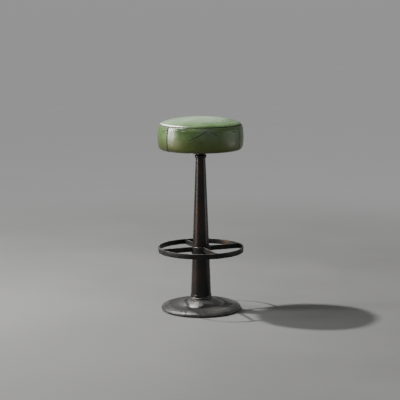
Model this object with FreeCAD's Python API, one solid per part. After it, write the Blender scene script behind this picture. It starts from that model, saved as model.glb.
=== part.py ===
import FreeCAD, Part
import math
import os

# A pedestal stool with a round leather seat that turns on a tapered column.
# Millimetres, +Z up. The origin is on the column's axis at the floor.
# X and Y run along the four spokes of the foot ring.

os.makedirs("parts", exist_ok=True)

# Clearances that the whole stool shares
weld_gap = 0.05
running_gap = 0.08
screw_gap = 0.05
soft_gap = 0.3
overrun = 5.0

# Base casting
floor_gap = 2.0
base_radius = 161.2
dome_rise = 43.5
casting_wall = 7.0
rim_inner_radius = 147.0
rib_count = 4
rib_thickness = 7.0
rib_clearance = 4.0
collar_wall = 2.9
collar_rise = 6.0
socket_gap = 0.2
socket_depth = 13.5
boss_wall = 6.5
boss_thickness = 14.0

# Upper contour of the casting, from the rim's foot in to the collar: the ends of
# its runs, and a point on each run that is an arc. Radius is a share of the way
# from collar to rim, height a share of dome_rise.
contour_shares = [
    (0.955, 0.0),
    (1.0, 0.126),
    (0.904, 0.368),
    (0.749, 0.469),
    (0.375, 0.501),
    (0.321, 0.621),
    (0.0, 1.0),
]
contour_arc_shares = [
    (0.990, 0.050),
    (0.973, 0.274),
    (0.829, 0.444),
    (0.560, 0.434),
    None,
    (0.174, 0.841),
]

# Rubber pads in the rim
pad_count = 8
pad_radius = 7.5
pad_depth = 5.0
pad_circle_radius = 146.0
pad_gap = 0.1
pad_boss_wall = 2.0

# Tapered column
column_foot_radius = 41.7
column_top_radius = 19.6
column_height = 578.0
column_wall = 3.0

# Ferrule round the column's foot
ferrule_height = 11.5
ferrule_wall = 1.6
ferrule_chamfer = 0.8

# Plug in the column's foot and the bolt that holds the casting to it
plug_height = 20.0
base_bolt_radius = 8.0
base_bolt_clearance = 0.75
base_bolt_reach = 17.0
base_bolt_flats = 24.0
base_bolt_head = 10.0
base_washer_radius = 25.0
base_washer_thickness = 3.0
lock_washer_radius = 13.0
lock_washer_thickness = 3.5
lock_washer_split = 2.5

# Foot ring, its spokes and hub
ring_radius = 171.8
ring_top = 258.0
bar_height = 20.0
bar_thickness = 5.0
spoke_count = 4
hub_wall = 4.6
hub_height = 29.0
hub_chamfer = 1.2
hub_above_ring = 1.0
set_screw_radius = 4.0
set_screw_proud = 1.0
set_screw_flats = 4.0
set_screw_socket = 3.0
set_screw_angles = (45.0, 135.0)

# Bead collar on top of the column
bead_radius = 23.8
bead_height = 16.0
collar_height = 22.1
collar_lip = 0.7
neck_radius = 18.6

# Bearing housing, bushes and spindle
housing_radius = 16.0
housing_wall = 3.0
housing_length = 158.0
housing_foot_height = 8.0
bush_wall = 2.9
bush_length = 28.0
spindle_radius = 10.0
spindle_thread_radius = 8.0
spindle_thread_length = 21.0
spindle_end_play = 0.5
spindle_washer_radius = 15.0
spindle_washer_thickness = 3.0
spindle_nut_flats = 24.0
spindle_nut_height = 14.0
castle_slot_depth = 5.0
castle_slot_width = 4.0
split_pin_radius = 1.6
split_pin_overhang = 2.5

# Thrust bearing between the collar and the seat plate
bearing_height = 10.0
bearing_radius = 17.5
race_height = 3.2
race_bore_gap = 0.4
ball_radius = 2.38
ball_count = 8
ball_circle_radius = 14.0
ball_gap = 0.25
cage_height = 1.8
cage_wall = 3.2
cage_gap = 0.1

# Seat plate and its bolts
plate_half_width = 75.0
plate_corner_radius = 20.0
plate_thickness = 5.0
plate_slot_length = 44.0
plate_slot_width = 18.0
plate_slot_offset = 45.0
shroud_gap = 1.5
shroud_wall = 3.0
shroud_height = 7.6
bolt_offset = 56.0
bolt_radius = 3.95
bolt_clearance = 0.5
bolt_length = 24.0
bolt_head_flats = 13.0
bolt_head_height = 5.3
bolt_washer_radius = 8.0
bolt_washer_thickness = 1.6
t_nut_flange_radius = 11.0
t_nut_flange_thickness = 1.5
t_nut_barrel_radius = 5.0
t_nut_barrel_length = 10.0

# Seat cushion
seat_radius = 172.5
cushion_depth = 128.1
side_bulge = 2.7
top_corner_radius = 32.2
bottom_corner_radius = 16.7
crown_rise = 15.5
leather_thickness = 2.0
leather_tuck = 16.0
top_seam_angle = 39.0
side_seam_angles = (-162.0, -48.0, 75.0)
board_margin = 22.5
board_thickness = 18.0
board_chamfer = 5.0
topper_thickness = 34.0
cloth_thickness = 0.8
cloth_overlap = 12.0
cloth_step = 5.0

# Heights that follow from the sizes above
contour_top = floor_gap + dome_rise
casting_top = contour_top + collar_rise
column_foot = casting_top - socket_depth
column_top = column_foot + column_height
boss_face = column_foot - boss_thickness
collar_top = column_top + collar_height
plate_bottom = collar_top + bearing_height
plate_top = plate_bottom + plate_thickness
board_bottom = plate_top + cloth_thickness
board_top = board_bottom + board_thickness
seat_underside = board_bottom - leather_thickness
seat_top = seat_underside + cushion_depth
housing_foot = collar_top - housing_length
spindle_shoulder = housing_foot - spindle_end_play
ring_bottom = ring_top - bar_height
hub_top = ring_top + hub_above_ring
hub_bottom = hub_top - hub_height


def column_radius(height):
    """Outer radius of the column at a height above the floor."""
    share = (height - column_foot) / column_height
    return column_foot_radius + share * (column_top_radius - column_foot_radius)


# Radii and places that follow from the column, the seat and the plate
socket_radius = column_foot_radius + socket_gap
collar_radius = socket_radius + collar_wall
boss_radius = socket_radius + boss_wall
hub_radius = column_radius(hub_bottom) + hub_wall
board_radius = seat_radius - board_margin
leather_tuck_radius = board_radius - leather_tuck
cloth_radius = leather_tuck_radius + cloth_overlap
bolt_places = [
    (bolt_offset, bolt_offset),
    (-bolt_offset, bolt_offset),
    (-bolt_offset, -bolt_offset),
    (bolt_offset, -bolt_offset),
]


def point(radius, height):
    """A point of a half section, drawn in the XZ plane."""
    return FreeCAD.Vector(radius, 0, height)


def line(start, end):
    return Part.LineSegment(point(*start), point(*end)).toShape()


def bend(start, middle, end):
    """An arc through three points."""
    return Part.Arc(point(*start), point(*middle), point(*end)).toShape()


def on_circle(centre, radius, angle):
    turn = math.radians(angle)
    return (centre[0] + radius * math.cos(turn), centre[1] + radius * math.sin(turn))


def arc(centre, radius, first, last):
    """An arc by its centre, radius and two angles above the horizontal."""
    middle = (first + last) / 2
    ends = [on_circle(centre, radius, angle) for angle in (first, middle, last)]
    return bend(*ends)


def polyline(points):
    return [line(start, end) for start, end in zip(points, points[1:])]


def revolve(edges, angle=360.0, start=0.0):
    """Turn a closed half section about the stool's axis."""
    face = Part.Face(Part.Wire(edges))
    axis = FreeCAD.Vector(0, 0, 1)
    solid = face.revolve(FreeCAD.Vector(0, 0, 0), axis, angle)
    solid.rotate(FreeCAD.Vector(0, 0, 0), axis, start)
    return solid


def turned(points):
    """A turned piece from the corners of its half section."""
    return revolve(polyline(points + points[:1]))


def rod(radius, low, high, x=0.0, y=0.0):
    return Part.makeCylinder(radius, high - low, FreeCAD.Vector(x, y, low))


def tube(outer, inner, low, high):
    return rod(outer, low, high).cut(rod(inner, low - overrun, high + overrun))


def block(low, high):
    size = [b - a for a, b in zip(low, high)]
    return Part.makeBox(*size, FreeCAD.Vector(*low))


def hexagon(flats, low, high, x=0.0, y=0.0):
    """A hexagonal prism by its size across flats."""
    reach = flats / 2 / math.cos(math.radians(30))
    corners = [on_circle((x, y), reach, 60 * step) for step in range(7)]
    wire = Part.makePolygon([FreeCAD.Vector(cx, cy, low) for cx, cy in corners])
    return Part.Face(wire).extrude(FreeCAD.Vector(0, 0, high - low))


def turned_copy(shape, angle):
    copy = shape.copy()
    copy.rotate(FreeCAD.Vector(0, 0, 0), FreeCAD.Vector(0, 0, 1), angle)
    return copy


def around(shape, count, first=0.0):
    """Equal copies about the stool's axis."""
    return [turned_copy(shape, first + 360 * step / count) for step in range(count)]


def spaced(shape, places):
    """Equal copies at places in the XY plane."""
    copies = []
    for x, y in places:
        copy = shape.copy()
        copy.translate(FreeCAD.Vector(x, y, 0))
        copies.append(copy)
    return copies


def cone_between(low, high, offset):
    """A solid that follows the column's taper at an offset from its surface."""
    rise = high - low
    origin = FreeCAD.Vector(0, 0, low)
    return Part.makeCone(column_radius(low) + offset, column_radius(high) + offset, rise, origin)


# Base


def contour_place(shares, drop=0.0):
    span = base_radius - collar_radius
    return (collar_radius + shares[0] * span, floor_gap + shares[1] * dome_rise - drop)


def contour_edges():
    """The casting's upper contour: rolled rim, valley, step and inner dome."""
    ends = [contour_place(shares) for shares in contour_shares]
    edges = []
    for start, end, shares in zip(ends, ends[1:], contour_arc_shares):
        if shares is None:
            edges.append(line(start, end))
        else:
            edges.append(bend(start, contour_place(shares), end))
    return edges


def casting_body():
    foot = contour_place(contour_shares[0])
    edges = contour_edges()
    edges += polyline([(collar_radius, contour_top), (0, contour_top), (0, floor_gap), foot])
    return revolve(edges).fuse(rod(collar_radius, contour_top - overrun, casting_top))


def casting_hollow():
    """The space under the casting, between its ribs and pad bosses."""
    below = floor_gap - overrun
    ceiling_shares = contour_shares[2:4] + contour_arc_shares[3:4] + contour_shares[4:]
    ceiling = [contour_place(shares, casting_wall) for shares in ceiling_shares]
    outer = (ceiling[0][0], below)
    inner = (ceiling[-1][0], below)
    space = turned(ceiling + [inner, outer]).cut(rod(boss_radius, below, casting_top))
    space = space.common(rod(rim_inner_radius, below, casting_top))
    rib = block(
        (0, -rib_thickness / 2, floor_gap + rib_clearance),
        (base_radius, rib_thickness / 2, casting_top),
    )
    boss = rod(pad_radius + pad_boss_wall, below, casting_top, pad_circle_radius)
    for piece in around(rib, rib_count):
        space = space.cut(piece)
    for piece in around(boss, pad_count, 180 / pad_count):
        space = space.cut(piece)
    return space


def base_casting():
    below = floor_gap - overrun
    pocket = rod(pad_radius + pad_gap, below, pad_depth, pad_circle_radius)
    solid = casting_body().cut(casting_hollow())
    solid = solid.cut(rod(socket_radius, column_foot, casting_top + overrun))
    solid = solid.cut(rod(base_bolt_radius + base_bolt_clearance, below, casting_top))
    solid = solid.cut(rod(boss_radius, below, boss_face))
    for piece in around(pocket, pad_count, 180 / pad_count):
        solid = solid.cut(piece)
    return solid


def floor_pads():
    pad = rod(pad_radius, 0, pad_depth, pad_circle_radius)
    return Part.makeCompound(around(pad, pad_count, 180 / pad_count))


def base_bolt():
    washers_bottom = boss_face - base_washer_thickness - lock_washer_thickness
    head = hexagon(base_bolt_flats, washers_bottom - base_bolt_head, washers_bottom)
    shank = rod(base_bolt_radius - screw_gap, washers_bottom, column_foot + base_bolt_reach)
    return head.fuse(shank)


def base_bolt_washer():
    bore = base_bolt_radius + base_bolt_clearance
    return tube(base_washer_radius, bore, boss_face - base_washer_thickness, boss_face)


def base_lock_washer():
    """A spring washer, cut through on one side."""
    top = boss_face - base_washer_thickness
    bottom = top - lock_washer_thickness
    ring = tube(lock_washer_radius, base_bolt_radius + screw_gap, bottom, top)
    half_split = lock_washer_split / 2
    split = block((0, -half_split, bottom - overrun), (base_washer_radius, half_split, top + overrun))
    return ring.cut(split)


# Column


def column():
    bore = cone_between(column_foot - overrun, column_top + overrun, -column_wall)
    return cone_between(column_foot, column_top, 0).cut(bore)


def column_foot_ferrule():
    low = casting_top
    high = casting_top + ferrule_height
    outer_low = column_radius(low) + ferrule_wall
    outer_high = column_radius(high) + ferrule_wall
    inner_high = column_radius(high) + weld_gap
    return turned([
        (inner_high, high),
        (column_radius(low) + weld_gap, low),
        (outer_low, low),
        (outer_high, high - ferrule_chamfer),
        (outer_high - ferrule_chamfer, high),
    ])


def column_foot_plug():
    top = column_foot + plug_height
    solid = cone_between(column_foot, top, -column_wall - weld_gap)
    return solid.cut(rod(base_bolt_radius, column_foot - overrun, top + overrun))


# Foot ring


def footrest_ring():
    return tube(ring_radius, ring_radius - bar_thickness, ring_bottom, ring_top)


def footrest_spokes():
    bar = block(
        (0, -bar_thickness / 2, ring_bottom),
        (ring_radius, bar_thickness / 2, ring_top),
    )
    span = tube(ring_radius - bar_thickness, hub_radius, ring_bottom, ring_top)
    return around(bar.common(span), spoke_count)


def footrest_hub():
    low = hub_bottom
    high = hub_top
    solid = turned([
        (column_radius(low) + weld_gap, low),
        (hub_radius - hub_chamfer, low),
        (hub_radius, low + hub_chamfer),
        (hub_radius, high - hub_chamfer),
        (hub_radius - hub_chamfer, high),
        (column_radius(high) + weld_gap, high),
    ])
    for angle in set_screw_angles:
        solid = solid.cut(set_screw_space(set_screw_radius + screw_gap, angle, overrun))
    return solid


def set_screw_space(radius, angle, extra):
    """A radial rod from the column's surface out through the hub."""
    height = (hub_bottom + hub_top) / 2
    start = column_radius(height) + weld_gap
    length = hub_radius + set_screw_proud + extra - start
    origin = FreeCAD.Vector(start, 0, height)
    solid = Part.makeCylinder(radius, length, origin, FreeCAD.Vector(1, 0, 0))
    return turned_copy(solid, angle)


def hub_set_screws():
    height = (hub_bottom + hub_top) / 2
    key = hexagon(set_screw_flats, 0, set_screw_socket + overrun)
    key.rotate(FreeCAD.Vector(0, 0, 0), FreeCAD.Vector(0, 1, 0), 90)
    key.translate(FreeCAD.Vector(hub_radius + set_screw_proud - set_screw_socket, 0, height))
    screws = []
    for angle in set_screw_angles:
        screws.append(set_screw_space(set_screw_radius, angle, 0).cut(turned_copy(key, angle)))
    return Part.makeCompound(screws)


# Bearing


def column_top_collar():
    """A turned collar with a round bead, from the column's end up to the bearing."""
    lip = column_top_radius + collar_lip
    bore = housing_radius + weld_gap
    bead_middle = (bead_radius, column_top + bead_height / 2)
    bead_end = (lip, column_top + bead_height)
    edges = polyline([(bore, collar_top), (bore, column_top), (lip, column_top)])
    edges.append(bend((lip, column_top), bead_middle, bead_end))
    edges += polyline([bead_end, (neck_radius, bead_end[1]), (neck_radius, collar_top), (bore, collar_top)])
    return revolve(edges)


def bearing_housing():
    """A tube in the column's top, with a foot turned to the column's bore."""
    foot_top = housing_foot + housing_foot_height
    bore = housing_radius - housing_wall
    return turned([
        (bore, housing_foot),
        (column_radius(housing_foot) - column_wall - weld_gap * 2, housing_foot),
        (column_radius(foot_top) - column_wall - weld_gap * 2, foot_top),
        (housing_radius, foot_top),
        (housing_radius, collar_top),
        (bore, collar_top),
    ])


def bush(low):
    outer = housing_radius - housing_wall
    return tube(outer, spindle_radius + running_gap, low, low + bush_length)


def upper_bush():
    return bush(collar_top - bush_length)


def lower_bush():
    return bush(housing_foot)


def spindle():
    thread_bottom = spindle_shoulder - spindle_thread_length
    solid = rod(spindle_radius, spindle_shoulder, plate_top)
    solid = solid.fuse(rod(spindle_thread_radius, thread_bottom, spindle_shoulder))
    return solid.cut(split_pin_rod(screw_gap))


def spindle_washer():
    low = spindle_shoulder - spindle_washer_thickness
    return tube(spindle_washer_radius, spindle_thread_radius + screw_gap, low, spindle_shoulder)


def spindle_nut():
    """A castle nut, its slots facing down."""
    top = spindle_shoulder - spindle_washer_thickness
    bottom = top - spindle_nut_height
    solid = hexagon(spindle_nut_flats, bottom, top)
    solid = solid.cut(rod(spindle_thread_radius + screw_gap, bottom - overrun, top + overrun))
    slot = block(
        (-spindle_nut_flats, -castle_slot_width / 2, bottom - overrun),
        (spindle_nut_flats, castle_slot_width / 2, bottom + castle_slot_depth),
    )
    for angle in (0, 60, 120):
        solid = solid.cut(turned_copy(slot, angle))
    return solid


def split_pin_rod(gap):
    nut_bottom = spindle_shoulder - spindle_washer_thickness - spindle_nut_height
    height = nut_bottom + castle_slot_depth / 2
    half = spindle_nut_flats / 2 + split_pin_overhang
    origin = FreeCAD.Vector(-half, 0, height)
    return Part.makeCylinder(split_pin_radius + gap, half * 2, origin, FreeCAD.Vector(1, 0, 0))


def split_pin():
    return split_pin_rod(0)


def ball_track():
    height = collar_top + bearing_height / 2
    return Part.makeTorus(ball_circle_radius, ball_radius + ball_gap, FreeCAD.Vector(0, 0, height))


def thrust_race_lower():
    ring = tube(bearing_radius, spindle_radius + race_bore_gap, collar_top, collar_top + race_height)
    return ring.cut(ball_track())


def thrust_race_upper():
    ring = tube(bearing_radius, spindle_radius + running_gap, plate_bottom - race_height, plate_bottom)
    return ring.cut(ball_track())


def thrust_balls():
    height = collar_top + bearing_height / 2
    ball = Part.makeSphere(ball_radius, FreeCAD.Vector(ball_circle_radius, 0, height))
    return Part.makeCompound(around(ball, ball_count))


def thrust_cage():
    middle = collar_top + bearing_height / 2
    low = middle - cage_height / 2
    high = middle + cage_height / 2
    solid = tube(ball_circle_radius + cage_wall, ball_circle_radius - cage_wall, low, high)
    hole = rod(ball_radius + cage_gap, low - overrun, high + overrun, ball_circle_radius)
    for piece in around(hole, ball_count):
        solid = solid.cut(piece)
    return solid


# Seat plate and its fasteners


def rounded_square(half, corner, low, high):
    solid = block((-half, -half, low), (half, half, high))
    upright = [edge for edge in solid.Edges if abs(edge.BoundBox.ZLength - (high - low)) < weld_gap]
    return solid.makeFillet(corner, upright)


def seat_plate():
    """A pressed plate with four slots, and a shroud that hides the bearing."""
    solid = rounded_square(plate_half_width, plate_corner_radius, plate_bottom, plate_top)
    slot = block(
        (plate_slot_offset, -plate_slot_length / 2, plate_bottom - overrun),
        (plate_slot_offset + plate_slot_width, plate_slot_length / 2, plate_top + overrun),
    )
    for piece in around(slot, 4):
        solid = solid.cut(piece)
    inner = bearing_radius + shroud_gap
    solid = solid.fuse(tube(inner + shroud_wall, inner, plate_bottom - shroud_height, plate_bottom))
    solid = solid.cut(rod(spindle_radius + weld_gap, plate_bottom - overrun, plate_top + overrun))
    hole = rod(bolt_radius + bolt_clearance, plate_bottom - overrun, plate_top + overrun)
    for piece in spaced(hole, bolt_places):
        solid = solid.cut(piece)
    return solid


def seat_bolts():
    seat = plate_bottom - bolt_washer_thickness
    head = hexagon(bolt_head_flats, seat - bolt_head_height, seat)
    bolt = head.fuse(rod(bolt_radius, seat, seat + bolt_length))
    return Part.makeCompound(spaced(bolt, bolt_places))


def seat_bolt_washers():
    low = plate_bottom - bolt_washer_thickness
    ring = tube(bolt_washer_radius, bolt_radius + bolt_clearance, low, plate_bottom)
    return Part.makeCompound(spaced(ring, bolt_places))


def t_nuts():
    solid = rod(t_nut_flange_radius, board_top, board_top + t_nut_flange_thickness)
    solid = solid.fuse(rod(t_nut_barrel_radius, board_top - t_nut_barrel_length, board_top))
    low = board_top - t_nut_barrel_length - overrun
    solid = solid.cut(rod(bolt_radius + screw_gap, low, board_top + overrun))
    return Part.makeCompound(spaced(solid, bolt_places))


def seat_board():
    """A plywood disc, chamfered below where the leather turns under it."""
    solid = turned([
        (0, board_bottom),
        (board_radius - board_chamfer, board_bottom),
        (board_radius, board_bottom + board_chamfer),
        (board_radius, board_top),
        (0, board_top),
    ])
    hole = rod(t_nut_barrel_radius + screw_gap, board_bottom - overrun, board_top + overrun)
    for piece in spaced(hole, bolt_places):
        solid = solid.cut(piece)
    return solid


# Cushion


# The cushion's outline is four arcs that run smoothly into each other: a small
# corner below, a slightly bulged side, a large corner above and a shallow crown.
top_corner = (
    seat_radius - side_bulge - top_corner_radius,
    seat_top - crown_rise - top_corner_radius,
)
bottom_corner = (
    seat_radius - side_bulge - bottom_corner_radius,
    seat_underside + bottom_corner_radius,
)


def crown_circle():
    """Centre and radius of the crown, which touches the top corner from outside."""
    drop = seat_top - top_corner[1]
    radius = (top_corner_radius ** 2 - top_corner[0] ** 2 - drop ** 2) / (top_corner_radius - drop) / 2
    return (0, seat_top - radius), radius


def side_circle():
    """Centre and radius of the side, which touches both corners from outside."""
    top_part = (seat_radius - top_corner[0]) ** 2 - top_corner_radius ** 2
    bottom_part = (seat_radius - bottom_corner[0]) ** 2 - bottom_corner_radius ** 2
    squares = bottom_corner[1] ** 2 - top_corner[1] ** 2
    height = (bottom_part - top_part + squares) / (bottom_corner[1] - top_corner[1]) / 2
    radius = (top_part + (height - top_corner[1]) ** 2) / side_bulge / 2
    return (seat_radius - radius, height), radius


def slope(start, end):
    return math.degrees(math.atan2(end[1] - start[1], end[0] - start[0]))


crown_centre, crown_radius = crown_circle()
side_centre, side_radius = side_circle()
crown_angle = slope(crown_centre, top_corner)
side_top_angle = slope(side_centre, top_corner)
side_bottom_angle = slope(side_centre, bottom_corner)


def crown_edges(inset, seam_angle):
    """From the axis out over the crown and down to an angle on the top corner."""
    return [
        arc(crown_centre, crown_radius - inset, 90, crown_angle),
        arc(top_corner, top_corner_radius - inset, crown_angle, seam_angle),
    ]


def side_edges(inset, seam_angle):
    """From an angle on the top corner down the side and round the bottom corner."""
    return [
        arc(top_corner, top_corner_radius - inset, seam_angle, side_top_angle),
        arc(side_centre, side_radius - inset, side_top_angle, side_bottom_angle),
        arc(bottom_corner, bottom_corner_radius - inset, side_bottom_angle, -90),
    ]


def leather_top_panel():
    t = leather_thickness
    outer_end = on_circle(top_corner, top_corner_radius, top_seam_angle)
    inner_end = on_circle(top_corner, top_corner_radius - t, top_seam_angle)
    edges = crown_edges(0, top_seam_angle) + crown_edges(t, top_seam_angle)
    edges.append(line(outer_end, inner_end))
    edges.append(line((0, seat_top - t), (0, seat_top)))
    return revolve(Part.sortEdges(edges)[0])


def leather_side_panels():
    """The side band, turned under the board, in one panel between each two seams."""
    t = leather_thickness
    outer_start = on_circle(top_corner, top_corner_radius, top_seam_angle)
    inner_start = on_circle(top_corner, top_corner_radius - t, top_seam_angle)
    edges = side_edges(0, top_seam_angle) + side_edges(t, top_seam_angle)
    edges.append(line(outer_start, inner_start))
    edges += polyline([
        (bottom_corner[0], seat_underside),
        (leather_tuck_radius, seat_underside),
        (leather_tuck_radius, board_bottom),
        (bottom_corner[0], board_bottom),
    ])
    panels = []
    for step, start in enumerate(side_seam_angles):
        end = side_seam_angles[(step + 1) % len(side_seam_angles)]
        panels.append(revolve(Part.sortEdges(edges)[0], (end - start) % 360, start))
    return panels


def foam():
    """The whole cushion inside the leather, over the board and round its edge."""
    inset = leather_thickness + soft_gap
    floor = board_top + soft_gap
    wall = board_radius + soft_gap
    edges = crown_edges(inset, top_seam_angle) + side_edges(inset, top_seam_angle)
    edges += polyline([
        (bottom_corner[0], seat_underside + inset),
        (wall, seat_underside + inset),
        (wall, floor),
        (0, floor),
        (0, seat_top - inset),
    ])
    solid = revolve(Part.sortEdges(edges)[0])
    pocket_top = board_top + t_nut_flange_thickness + soft_gap
    pocket = rod(t_nut_flange_radius + soft_gap, board_top, pocket_top)
    for piece in spaced(pocket, bolt_places):
        solid = solid.cut(piece)
    return solid


def foam_layers():
    split = seat_top - topper_thickness
    core = foam().common(rod(seat_radius, seat_underside, split))
    topper = foam().common(rod(seat_radius, split, seat_top))
    return core, topper


def dust_cover():
    """Thin cloth, stapled under the leather and drawn up to the board in the middle."""
    low = seat_underside - cloth_thickness
    inner = leather_tuck_radius - soft_gap
    solid = turned([
        (0, plate_top),
        (inner - cloth_step, plate_top),
        (inner, low),
        (cloth_radius, low),
        (cloth_radius, seat_underside),
        (inner, seat_underside),
        (inner - cloth_step, board_bottom),
        (0, board_bottom),
    ])
    hole = rod(bolt_radius + bolt_clearance, low - overrun, board_bottom + overrun)
    for piece in spaced(hole, bolt_places):
        solid = solid.cut(piece)
    return solid


def save(name, shape):
    shape.exportStep(f"parts/{name}.step")


single_pieces = [
    base_casting,
    floor_pads,
    base_bolt,
    base_bolt_washer,
    base_lock_washer,
    column,
    column_foot_ferrule,
    column_foot_plug,
    footrest_ring,
    footrest_hub,
    hub_set_screws,
    column_top_collar,
    bearing_housing,
    upper_bush,
    lower_bush,
    spindle,
    spindle_washer,
    spindle_nut,
    split_pin,
    thrust_race_lower,
    thrust_race_upper,
    thrust_balls,
    thrust_cage,
    seat_plate,
    seat_bolts,
    seat_bolt_washers,
    t_nuts,
    seat_board,
    leather_top_panel,
    dust_cover,
]
for make in single_pieces:
    save(make.__name__, make())
for number, spoke in enumerate(footrest_spokes(), 1):
    save(f"footrest_spoke_{number}", spoke)
for number, panel in enumerate(leather_side_panels(), 1):
    save(f"leather_side_panel_{number}", panel)
for name, layer in zip(("foam_core", "foam_topper"), foam_layers()):
    save(name, layer)
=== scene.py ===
from math import atan2, copysign, cos, degrees, exp, hypot, pi, radians, sin, sqrt, tau

import bpy
from mathutils import Matrix, Vector, noise


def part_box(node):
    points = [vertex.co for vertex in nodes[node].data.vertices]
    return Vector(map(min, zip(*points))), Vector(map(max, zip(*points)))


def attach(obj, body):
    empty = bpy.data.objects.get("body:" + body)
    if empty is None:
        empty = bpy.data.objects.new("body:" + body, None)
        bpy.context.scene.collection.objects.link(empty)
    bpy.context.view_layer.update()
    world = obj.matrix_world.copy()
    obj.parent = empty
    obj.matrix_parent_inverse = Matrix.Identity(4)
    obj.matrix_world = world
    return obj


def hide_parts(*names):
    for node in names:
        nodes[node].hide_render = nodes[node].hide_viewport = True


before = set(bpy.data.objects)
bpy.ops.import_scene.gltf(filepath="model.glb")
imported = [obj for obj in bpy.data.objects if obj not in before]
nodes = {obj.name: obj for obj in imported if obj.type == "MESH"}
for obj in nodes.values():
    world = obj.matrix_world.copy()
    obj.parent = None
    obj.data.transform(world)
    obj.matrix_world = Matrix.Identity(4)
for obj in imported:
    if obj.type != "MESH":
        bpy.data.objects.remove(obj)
bpy.ops.object.select_all(action="DESELECT")
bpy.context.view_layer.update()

# A pedestal stool: a round leather seat that turns on a tapered iron column.
# Metres. The origin is on the column's axis at the floor.
MM = 0.001
weld_distance = 0.005 * MM


def span(node):
    """A round node's largest radius, its foot and its top."""
    low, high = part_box(node)
    return max(high.x, -low.x, high.y, -low.y), low.z, high.z


base_radius, floor_gap, casting_top = span("base_casting")
column_foot_radius, column_foot, column_top = span("column")
ferrule_radius, ferrule_low, ferrule_high = span("column_foot_ferrule")
ring_radius, ring_low, ring_high = span("footrest_ring")
hub_radius, hub_low, hub_high = span("footrest_hub")
bead_radius, collar_low, collar_high = span("column_top_collar")
seat_top = span("leather_top_panel")[2]
board_radius, board_low, board_high = span("seat_board")
seat_radius = max(span(f"leather_side_panel_{number}")[0] for number in (1, 2, 3))
seat_low = span("leather_side_panel_1")[1]

# Sizes that the frame's boxes don't give
column_top_radius = 19.6 * MM
column_wall = 3.0 * MM
dome_rise = 43.5 * MM
casting_wall = 7.0 * MM
rim_inner_radius = 147.0 * MM
socket_radius = 41.9 * MM
collar_radius = 44.8 * MM
boss_radius = 48.4 * MM
bolt_hole_radius = 8.75 * MM
boss_thickness = 14.0 * MM
pad_circle_radius = 146.0 * MM
pad_boss_radius = 8.0 * MM
rib_thickness = 7.0 * MM
rib_clearance = 4.0 * MM
bar_thickness = 5.0 * MM
bar_rounding = 0.8 * MM
weld_radius = 1.5 * MM
bead_height = 16.0 * MM
collar_lip = 0.7 * MM
neck_radius = 18.6 * MM
collar_bore = 16.05 * MM
side_bulge = 2.7 * MM
top_corner_radius = 32.2 * MM
bottom_corner_radius = 16.7 * MM
crown_rise = 15.5 * MM
leather_thickness = 2.0 * MM
leather_tuck_radius = 134.0 * MM
topper_thickness = 34.0 * MM
foam_inset = 5.0 * MM
staple_count = 32
side_seam_angles = (-162.0, -48.0, 75.0)
top_seam_angle = 39.0
top_seam_drop = top_corner_radius * (1 - sin(radians(top_seam_angle)))
top_seam_height = seat_top - crown_rise - top_seam_drop
rust_angle = radians(30.0)
rust_place = (
    ring_radius * cos(rust_angle),
    ring_radius * sin(rust_angle),
    ring_high - 8 * MM,
)

# The largest angle between two faces that still shade as one, in degrees
hub_bend, turned_bend, bar_bend, soft_bend = 30, 40, 50, 60


# Measures


def clip(share):
    return min(1.0, max(0.0, share))


def bell(distance, width):
    """1 at no distance, falling off smoothly past the width."""
    return exp(-((distance / width) ** 2))


def axis_distance(place):
    return hypot(place.x, place.y)


def bearing(place):
    """Direction from the stool's axis, in degrees."""
    return degrees(atan2(place.y, place.x))


def turn_between(start, end):
    """The turn from one direction to another, from -180 to 180 degrees."""
    return (end - start + 180) % 360 - 180


def slope(start, end):
    return degrees(atan2(end[1] - start[1], end[0] - start[0]))


# Half sections, as lists of places by distance from the axis and height


def arc_point(centre, radius, turn):
    return (centre[0] + radius * cos(turn), centre[1] + radius * sin(turn))


def arc_points(centre, radius, first, last, steps):
    """Points on an arc, between two angles above the horizontal in degrees."""
    turns = [radians(first + (last - first) * step / steps) for step in range(steps + 1)]
    return [arc_point(centre, radius, turn) for turn in turns]


def bend_points(start, middle, end, steps):
    """Points on the arc through three points, without the last."""
    (ax, ay), (bx, by), (cx, cy) = start, middle, end
    spread = 2 * (ax * (by - cy) + bx * (cy - ay) + cx * (ay - by))
    a2, b2, c2 = ax * ax + ay * ay, bx * bx + by * by, cx * cx + cy * cy
    x = (a2 * (by - cy) + b2 * (cy - ay) + c2 * (ay - by)) / spread
    y = (a2 * (cx - bx) + b2 * (ax - cx) + c2 * (bx - ax)) / spread
    radius = hypot(ax - x, ay - y)
    first = atan2(ay - y, ax - x)
    middle_turn = (atan2(by - y, bx - x) - first + pi) % tau - pi
    last_turn = (atan2(cy - y, cx - x) - first + pi) % tau - pi
    if last_turn * middle_turn < 0:
        last_turn += copysign(tau, middle_turn)
    turns = [first + last_turn * step / steps for step in range(steps)]
    return [arc_point((x, y), radius, turn) for turn in turns]


def line_points(start, end, steps):
    """Points along a line, without the last."""
    shares = [step / steps for step in range(steps)]
    return [tuple(a + (b - a) * share for a, b in zip(start, end)) for share in shares]


def closed(section):
    return section + section[:1]


# Hand tools


def activate(piece):
    bpy.ops.object.select_all(action="DESELECT")
    piece.select_set(True)
    bpy.context.view_layer.objects.active = piece


def edit(piece, action="SELECT"):
    """Opens a piece in edit mode, all selected unless another action or none is given."""
    activate(piece)
    bpy.ops.object.mode_set(mode="EDIT")
    if action:
        bpy.ops.mesh.select_all(action=action)


def leave():
    bpy.ops.object.mode_set(mode="OBJECT")


def edit_inner_edges(piece, radius):
    """Opens a piece in edit mode with the edges inside a radius selected."""
    edit(piece, "DESELECT")
    leave()
    for edge in piece.data.edges:
        ends = [piece.data.vertices[index].co for index in edge.vertices]
        edge.select = all(axis_distance(end) < radius for end in ends)
    edit(piece, None)


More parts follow.
